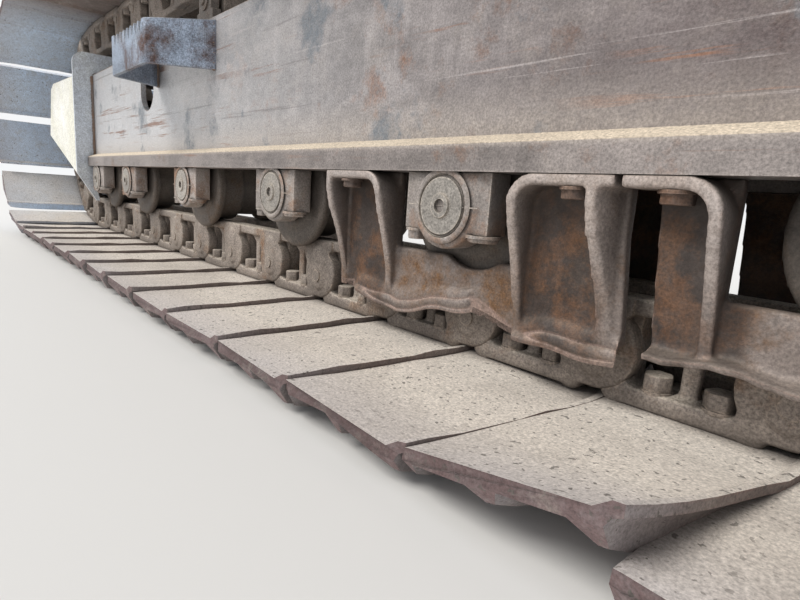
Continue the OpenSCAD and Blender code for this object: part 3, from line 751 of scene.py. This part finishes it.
def on_path(s):
    """Place (x, z) at a distance along the chain's closed path."""
    half, upper = wheel_dist / 2, wheel_dist + slack
    if s < half:
        return s, pin_z
    if s < half + arc:
        a = (s - half) / arc * math.pi
        return half + pin_circle * math.sin(a), wheel_z - pin_circle * math.cos(a)
    if s < half + arc + upper:
        x = half - (s - half - arc) * wheel_dist / upper
        wave = math.sin(sagging_spans * math.pi * (x + half) / wheel_dist)
        return x, wheel_z + pin_circle - sag * wave ** 2
    if s < 3 * half + slack + 2 * arc:
        a = math.pi + (s - half - arc - upper) / arc * math.pi
        return -half + pin_circle * math.sin(a), wheel_z - pin_circle * math.cos(a)
    return s - link_count * pitch, pin_z


def link_place(k, y=0.0):
    """Frame of link k: X along it, Z towards the rail, the origin midway between its pins."""
    (ax, az), (bx, bz) = (on_path((i % link_count) * pitch + first_pin) for i in (k, k + 1))
    t = math.atan2(bz - az, bx - ax)
    return Matrix(((math.cos(t), 0, -math.sin(t), (ax + bx) / 2), (0, 1, 0, y),
                   (math.sin(t), 0, math.cos(t), (az + bz) / 2), (0, 0, 0, 1)))


def block(x0, x1, y0, y1, z0, z1):
    """A box between these places in millimetres."""
    bpy.ops.mesh.primitive_cube_add(size=1, location=((x0 + x1) / 2e3, (y0 + y1) / 2e3, (z0 + z1) / 2e3),
                                    scale=((x1 - x0) / 1e3, (y1 - y0) / 1e3, (z1 - z0) / 1e3))
    return bpy.context.object


def drum(x, z, r, y0, y1, corners=32):
    """A cylinder that lies along Y from y0 to y1, in millimetres."""
    bpy.ops.mesh.primitive_cylinder_add(vertices=corners, radius=r / 1e3, depth=(y1 - y0) / 1e3,
                                        location=(x / 1e3, (y0 + y1) / 2e3, z / 1e3),
                                        rotation=(math.pi / 2, 0, 0))
    return bpy.context.object


link = joined([
    drum(-106, -2, 55, 0, 27),            # outer boss
    drum(108, 0, 48, -27, 0),             # inner boss
    drum(-108, -16, 21, 20, 33),          # raised seat round the pin's end, lower round
    block(-129, -87, 20, 33.5, -18, 34),  # its straight middle
    drum(-106, 36, 19, 20, 33.5),         # its upper round
    block(-148, -58, 1, 27, 46, 70),      # rail over the outer boss
    block(-72, 78, -21, 22, 48, 70),      # rail in the middle
    block(64, 148, -27, -1, 46, 70),      # rail over the inner boss
    drum(146, 57, 13, -27, -1),           # rounded end of the rail
    block(-14, 8, -9, 9, -50, 56),        # column between the windows
    block(-84, 66, -24, 25, -65, -41),    # foot
    drum(66, -52, 13, -20, 22, 16),       # rounded end of the foot
    drum(-66, 38, 22, -4, 26),            # neck from the outer boss to the rail
    block(-90, -58, -2, 26, -56, 40),     # wall from the outer boss to its window
    block(62, 88, -26, 4, -50, 56),       # wall from the inner boss to its window
    drum(-16, 44, 11, -9, 9, 16),         # fillets at the column's head
    drum(12, 44, 11, -9, 9, 16),
    drum(-74, -52, 18, -22, 24, 16),      # heels of the foot under both bosses
    drum(78, -50, 20, -22, 24, 16)])
bpy.ops.object.transform_apply()
shape_with(link, "REMESH", mode="VOXEL", voxel_size=0.0032)
shape_with(link, "SMOOTH", iterations=10)
shape_with(link, "DECIMATE", ratio=0.07)
pin_radius, pin_proud, nut_seat = 0.013, 0.004, -0.043
bpy.ops.mesh.primitive_cylinder_add(vertices=16, radius=pin_radius, depth=pin_proud,
                                    location=(-0.108, 0.0340, -0.008), rotation=(math.pi / 2, 0, 0))
pin_end = bpy.context.object
bpy.ops.object.transform_apply()
nuts = [bolt_head(0.0185, 0.024, 1.02) for _ in range(2)]
for nut, (x, y) in zip(nuts, ((-0.038, 0.008), (0.033, 0.006))):
    nut.data.transform(Matrix.Translation((x, y, nut_seat)) @ Matrix.Rotation(x * 11, 4, "Z"))
link = joined([link, *nuts, pin_end])
link_y = 0.0775
mirrored = Matrix.Scale(-1, 4, (0, 1, 0))
set_copies("links_outer", link, [link_place(k, link_y) for k in range(link_count)], link_steel,
           keep=True, stands_for=("link_row_outer",))
set_copies("links_inner", link, [link_place(k, -link_y) @ mirrored for k in range(link_count)],
           link_steel, stands_for=("link_row_inner",))

# Bushings
# Hardened tubes between the two rows, pressed on the pins and polished by the sprocket.
tube = drum(-108, 0, 33, -50.5, 50.5, 20)
bpy.ops.object.transform_apply()
set_copies("bushings_worn", tube, [link_place(k) for k in range(link_count)], link_steel,
           stands_for=("track_bushings",))

# Shoes
# Rolled triple-grouser plates. The rear edge is turned up over the shoe behind it, and years on
# stone have bent their ends a little; the shoe nearest the camera has a corner turned right up.
shoe_steel = worn_metal(
    "shoe_steel", (0.240, 0.195, 0.178), (0.25, 0.15, 0.10), (0.74, 0.675, 0.60), rust_share=0.3,
    dust_share=0.30, rough=0.7, shine=0.2, lip=(0.27, 0.175, 0.150),
    drift=((1.85, 2.3, (0.66, 0.78, 0.93), 0.92),), pits=0.35, crumbs=True,
    ends=(0.30, 0.43, (0.42, 0.395, 0.41), 0.7), high=(0.25, 0.55, 0.42),
    flank=((0.135, 0.084, 0.082), 0.9))
shoe_outline = ((-86, -57), (-79, -57), (-67, -65), (126, -65), (133, -67), (134, -80), (133, -111),
                (126, -111), (113, -79), (43, -79), (33, -109), (25, -109), (15, -79), (-48, -79),
                (-66, -111), (-74, -111), (-76, -78), (-80, -70), (-86, -67))
half_width, strips, stiff_half = 0.425, 20, 0.20
bpy.ops.mesh.primitive_circle_add(vertices=len(shoe_outline), radius=0.1, fill_type="NGON")
shoe = bpy.context.object
for v, (u, h) in zip(shoe.data.vertices, shoe_outline):
    v.co = Vector((u / 1e3, -half_width, h / 1e3))
bpy.ops.object.mode_set(mode="EDIT")
bpy.ops.mesh.select_all(action="SELECT")
for _ in range(strips):
    bpy.ops.mesh.extrude_region_move(TRANSFORM_OT_translate={"value": (0, 2 * half_width / strips, 0)})
bpy.ops.mesh.select_all(action="SELECT")
bpy.ops.mesh.normals_make_consistent(inside=False)
bpy.ops.object.mode_set(mode="OBJECT")
shoe_mid, near_mid = Vector((0.029, 0, 0)), Vector((-0.555, 0, pin_z))
near_shoe = min(range(link_count), key=lambda k: (link_place(k) @ shoe_mid - near_mid).length)
loose = ((0.20, 0.0), (-0.02, 0.006), (-0.23, 0.018), (-0.444, 0.038), (-0.49, 0.056), (-0.72, 0.046))


def wear_end(co, ripple_turn):
    """Rubs a shoe's end face back, most at its corners and at the grousers' tips."""
    corner = max(0.0, abs(co.x - 0.024) - 0.096) / 0.014
    drop = max(0.0, -0.080 - co.z) * 0.75
    co.y *= 1 - (0.005 + 0.0035 * math.sin(co.x * 47 + ripple_turn) + 0.006 * corner + drop) / half_width


def knock_loose(co, k, tip):
    """Skews the four shoes by the camera, turns up the first and presses down the second."""
    turn = kept((half_width - co.y) / 0.30) * kept((co.y + 0.2) / 0.25)
    skew = turn * along((link_place(k) @ co).x, loose)
    if k == near_shoe:
        out = max(0.0, (co.y - 0.16) / 0.265)
        rear = kept((0.134 - co.x) / 0.21)
        co.z += 0.043 * out ** 1.35 * rear + 0.006 * tip * out
    if k == near_shoe + 1:
        co.z -= 0.008 * kept((0.02 - co.x) / 0.08) * (1 - tip) * kept((co.y + 0.1) / 0.2)
    co.x -= skew


wear = random.Random(11)
shoe_copies = []
for k in range(link_count):
    c = bpy.data.objects.new("shoe", shoe.data.copy())
    bpy.context.collection.objects.link(c)
    bend_outer, bend_inner, turn_wide, turn_fine = (wear.uniform(-1, 1) for _ in range(4))
    for v in c.data.vertices:
        far = max(0.0, (abs(v.co.y) - stiff_half) / (half_width - stiff_half))
        bend = abs(bend_outer if v.co.y > 0 else bend_inner) * 0.005 * far * far
        ripple = (0.0012 * math.sin(v.co.y * 37 + turn_wide * 9)
                  + 0.0008 * math.sin(v.co.y * 83 + turn_fine * 7))
        tip = kept((-0.085 - v.co.z) / 0.02)
        v.co.z += bend + ripple * (1 if v.co.x < -0.06 else 0.4) * (1 - tip) + 0.010 * tip * far ** 3
        if abs(v.co.y) > half_width - 0.001:
            wear_end(v.co, turn_wide * 5)
        if 0 <= k - near_shoe <= 3:
            knock_loose(v.co, k, tip)
    c.data.transform(link_place(k))
    shoe_copies.append(c)
bpy.data.objects.remove(shoe, do_unlink=True)
hand_over(joined(shoe_copies), "shoes_worn", shoe_steel, smooth=30,
          stands_for=("track_shoes",))

# Step
# A strap bent to a loop and welded to the wall, its top edge cut to teeth against slipping.
step_steel = worn_metal(
    "step_steel", (0.295, 0.350, 0.440), (0.135, 0.082, 0.070), (0.50, 0.54, 0.58), rust_share=0.56,
    dust_share=0.36, rough=0.5, shine=0.4, lip=(0.40, 0.40, 0.42), mottle=0.75, runs=0.5, pits=0.6)
wall_y, bar_y, bar_near, bar_far, foot_spread = 0.157, 0.298, 0.662, 0.946, 0.067
teeth_from, teeth_to, cuts = bar_near + 0.030, bar_far - 0.025, 15
tooth_foot, tooth_rise = 0.629, 0.031
strap_top, strap_bottom, top_slope, bottom_slope = 0.675, 0.560, 0.015, 0.003
strap_thick, strap_round = 0.012, 0.0025


def leg(start, end, steps):
    """Evenly spaced places from start to end."""
    (xa, ya), (xb, yb) = start, end
    return [(xa + (xb - xa) * i / steps, ya + (yb - ya) * i / steps) for i in range(steps + 1)]


plan = leg((bar_near - foot_spread, wall_y), (bar_near, bar_y - 0.012), 8)[:-1]
plan += [(bar_near + 0.002, bar_y - 0.012), (bar_near + 0.008, bar_y - 0.003), (bar_near + 0.018, bar_y)]
plan += leg((teeth_from, bar_y), (teeth_to, bar_y), cuts)
plan += [(bar_far - 0.012, bar_y), (bar_far - 0.003, bar_y - 0.004), (bar_far + 0.003, bar_y - 0.014)]
plan += leg((bar_far, bar_y - 0.014), (bar_far + foot_spread, wall_y), 8)[1:]
bpy.ops.mesh.primitive_plane_add(size=1)
strap = bpy.context.object
bpy.ops.object.mode_set(mode="EDIT")
bpy.ops.mesh.select_all(action="SELECT")
bpy.ops.mesh.subdivide(number_cuts=len(plan) - 2)
bpy.ops.object.mode_set(mode="OBJECT")
columns = sorted({round(v.co.x, 5) for v in strap.data.vertices})
rows = sorted({round(v.co.y, 5) for v in strap.data.vertices})[:4]
grid = bmesh.new()
grid.from_mesh(strap.data)
bmesh.ops.delete(grid, geom=[v for v in grid.verts if round(v.co.y, 5) not in rows], context="VERTS")
for v in grid.verts:
    x, y = plan[min(range(len(columns)), key=lambda c: abs(columns[c] - v.co.x))]
    out = (y - wall_y) / (bar_y - wall_y)
    top, bottom = strap_top - top_slope * out, strap_bottom - bottom_slope * out
    if teeth_from - 0.005 < x < teeth_to + 0.005 and y > bar_y - 0.001:
        odd = round((x - teeth_from) / (teeth_to - teeth_from) * cuts) % 2
        top = tooth_foot + tooth_rise * odd
    share = min(range(len(rows)), key=lambda r: abs(rows[r] - v.co.y)) / (len(rows) - 1)
    v.co = Vector((x, y, bottom + (top - bottom) * share))
grid.to_mesh(strap.data)
grid.free()
shape_with(strap, "SOLIDIFY", thickness=strap_thick)
shape_with(strap, "BEVEL", width=strap_round, segments=2, limit_method="ANGLE")
hand_over(strap, "step_strap", step_steel, stands_for=("step",))

# Idler end and drive
# Castings, dusty over dark steel; the idler and the sprocket wear like the links. The cheeks and
# the motor's cover keep most of their yellow paint, which is scraped at the edges; its tone is painted
# near-white with the sunlight on it.
# Near-white cream: yellow paint with the sunlight on it painted into its tone.
pale_paint = worn_metal(
    "pale_paint", (0.95, 0.93, 0.80), (0.30, 0.18, 0.09), (0.84, 0.80, 0.70), rust_share=0.10,
    dust_share=0.22, rough=0.5, shine=0.0, lip=(0.34, 0.29, 0.24), hollow_shade_share=0.4)
# The end plates' pale blue-grey is painted light: lighter than their steel, to make up for the shadow they
# lie in.
end_steel_painted_light = worn_metal(
    "end_steel_painted_light", (0.74, 0.80, 0.88), (0.32, 0.21, 0.14), (0.80, 0.82, 0.84), rust_share=0.25,
    dust_share=0.35, rough=0.55, shine=0.25, lip=(0.42, 0.40, 0.38))
dress(pale_paint, "idler_cheek_outer", "idler_cheek_inner", "motor_cover")
dress(end_steel_painted_light, "end_plate_outer", "end_plate_inner")
drive_steel = worn_metal(
    "drive_steel", (0.215, 0.190, 0.170), (0.24, 0.14, 0.085), (0.44, 0.375, 0.31), rust_share=0.45,
    dust_share=0.5, rough=0.58, shine=0.3, lip=(0.46, 0.39, 0.33), pits=0.5)
dress(drive_steel, "carrier_bracket_front", "carrier_bracket_rear", "bearing_block_outer",
      "bearing_block_inner")
dress(link_steel, "idler_axle", "idler_yoke", "recoil_spring")
for n, new, voxel, faces, mat, body in (
        ("final_drive_case", "drive_case_worn", 0.0045, 24000, drive_steel, "frame"),
        ("final_drive_hub", "drive_hub_worn", 0.0045, 24000, drive_steel, "frame"),
        ("sprocket", "sprocket_worn", 0.0045, 40000, link_steel, "frame"),
        ("idler", "idler_worn", 0.0045, 36000, link_steel, "idler"),
        ("carrier_roller_front", "carrier_shell_front", 0.0028, 8000, link_steel, "frame"),
        ("carrier_roller_rear", "carrier_shell_rear", 0.0028, 8000, link_steel, "frame")):
    softened(new, n, voxel, mat, faces=faces, body=body)

# Bolts and plugs of the drive and the idler
# The sprocket is bolted to the hub by a ring of bolts, the gear cover by a smaller one, with two
# plugs in its end cap. The case has its own ring on the inner side, clear of the motor's cover.
drive_low, drive_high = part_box("final_drive_hub")
drive_x, drive_z = (drive_low[0] + drive_high[0]) / 2, (drive_low[2] + drive_high[2]) / 2
cover_low, cover_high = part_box("motor_cover")
cover_clear = 0.02
carrier_x, cap_y, carrier_z = 0.72, 0.1380, 0.7519


def ring_bolts(count, radius, y, side, phase=0.5):
    """Matrices of bolts on a circle round the drive's axis, standing out to one side."""
    places = []
    for k in range(count):
        turn = Matrix.Rotation((k + phase) * 2 * math.pi / count, 4, "Y")
        places.append(Matrix.Translation((drive_x, 0, drive_z)) @ turn @ Matrix.Translation((radius, y, 0))
                      @ Matrix.Rotation(-side * math.pi / 2, 4, "X") @ Matrix.Rotation(k * 0.9, 4, "Z"))
    return places


for name, head, ring in (("sprocket_bolts", (0.0145, 0.014, 1.15), (26, 0.208, 0.067, 1)),
                         ("cover_bolts", (0.0085, 0.009, 1.1), (12, 0.133, 0.2095, 1)),
                         ("drive_plugs", (0.015, 0.007, 1.35), (2, 0.055, drive_high[1] - 0.0005, 1, 0.3))):
    set_copies(name, bolt_head(*head), ring_bolts(*ring), drive_steel)
case_bolts = [m for m in ring_bolts(24, 0.212, -0.1865, -1)
              if not (cover_low[0] - cover_clear < m.translation.x < cover_high[0] + cover_clear
                      and cover_low[2] - cover_clear < m.translation.z < cover_high[2] + cover_clear)]
set_copies("case_bolts", bolt_head(0.0125, 0.012, 1.15), case_bolts, drive_steel)
cap_places = [Matrix.Translation((x, side * cap_y, carrier_z)) @ Matrix.Rotation(-side * math.pi / 2, 4, "X")
              for side in (1, -1) for x in (-carrier_x, carrier_x)]
set_copies("carrier_caps", bolt_head(0.015, 0.010, 1.7), cap_places, drive_steel)

# Cover of the travel motor
# A welded box with a raised lid on its face, held by bolts, painted like the cheeks.
lid_margin, lid_thick, bolt_inset = 0.05, 0.010, 0.022
lid_l, lid_h = cover_high[0] - cover_low[0] - lid_margin, cover_high[2] - cover_low[2] - lid_margin
cover_mid = Vector(((cover_low[0] + cover_high[0]) / 2, cover_low[1], (cover_low[2] + cover_high[2]) / 2))
bpy.ops.mesh.primitive_cube_add(size=1, location=cover_mid, scale=(lid_l, lid_thick, lid_h))
lid = bpy.context.object
bpy.ops.object.transform_apply()
open_face(lid, Vector((0, -1, 0)))
for inset in (0.045, 0.006):
    bpy.ops.mesh.inset(thickness=inset, depth=0)
bpy.ops.transform.translate(value=(0, -0.004, 0))
bpy.ops.object.mode_set(mode="OBJECT")
shape_with(lid, "BEVEL", width=0.0022, segments=2)
hand_over(lid, "motor_cover_lid", pale_paint)
lid_bolts = [Matrix.Translation(cover_mid + Vector((u * (lid_l / 2 - bolt_inset), -0.0045,
                                                    w * (lid_h / 2 - bolt_inset))))
             @ Matrix.Rotation(math.pi / 2, 4, "X") for u in (-1, 0, 1) for w in (-1, 1)]
set_copies("lid_bolts", bolt_head(0.011, 0.009, 1.4), lid_bolts, drive_steel)

# Weld beads
# Fillets round the pads, down the step's feet, along the end plates and the beam's top edges and
# under the carriers' feet, laid by hand in overlapping coins.
bead_radius, bead_coins = 0.0065, 24
bpy.ops.mesh.primitive_cylinder_add(vertices=8, radius=bead_radius, depth=1)
bead = bpy.context.object
bpy.ops.object.mode_set(mode="EDIT")
bpy.ops.mesh.select_mode(type="EDGE")
bpy.ops.mesh.select_all(action="DESELECT")
bpy.ops.object.mode_set(mode="OBJECT")
for e in bead.data.edges:
    a, b = (bead.data.vertices[i].co for i in e.vertices)
    e.select = abs(a.z - b.z) > 0.5
bpy.ops.object.mode_set(mode="EDIT")
bpy.ops.mesh.subdivide(number_cuts=2 * bead_coins - 1)
bpy.ops.object.mode_set(mode="OBJECT")
for v in bead.data.vertices:
    coin = 1 + 0.22 * abs(math.sin(v.co.z * bead_coins * math.pi)) + 0.10 * math.sin(v.co.z * 31)
    v.co.x *= coin
    v.co.y *= coin


def bead_between(a, b):
    """Matrix that lays the bead from point a to point b."""
    a, b = Vector(a), Vector(b)
    return (Matrix.Translation((a + b) / 2) @ (b - a).to_track_quat("Z", "Y").to_matrix().to_4x4()
            @ Matrix.Scale((b - a).length, 4, (0, 0, 1)))


beads = []
for pad in ("mounting_pad_front", "mounting_pad_rear"):
    low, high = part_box(pad)
    y = high[1] - 0.001
    corners = [(low[0], y, low[2]), (high[0], y, low[2]), (high[0], y, high[2]), (low[0], y, high[2])]
    beads += [bead_between(a, b) for a, b in zip(corners, corners[1:] + corners[:1])]
plate_face, plate_foot, plate_top = 0.1645, 0.366, 0.680
beam_edge, beam_rear, beam_ahead, beam_top = 0.146, -1.755, 3.745, 0.688
bracket_edge, bracket_foot = 0.138, 0.6915
step_low, step_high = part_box("step")
for x in (step_low[0] - 0.002, step_high[0] + 0.002):
    beads.append(bead_between((x, plate_face, step_low[2] + 0.02), (x, plate_face, step_high[2])))
for name, side in (("outer", 1), ("inner", -1)):
    low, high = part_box("end_plate_" + name)
    y = side * plate_face
    beads.append(bead_between((low[0], y, plate_foot), (low[0], y, plate_top)))
    low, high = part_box("side_plate_" + name)
    y = side * beam_edge
    beads.append(bead_between((beam_rear, y, beam_top), (low[0] + beam_ahead, y, beam_top)))
for n in ("carrier_bracket_front", "carrier_bracket_rear"):
    low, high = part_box(n)
    for y in (bracket_edge, -bracket_edge):
        beads.append(bead_between((low[0], y, bracket_foot), (high[0], y, bracket_foot)))
weld_steel = worn_metal(
    "weld_steel", (0.21, 0.165, 0.140), (0.29, 0.155, 0.080), (0.42, 0.355, 0.29), rust_share=0.7,
    dust_share=0.3, rough=0.6, shine=0.25, lip=(0.36, 0.28, 0.24), pits=0.5)
set_copies("weld_beads", bead, beads, weld_steel)
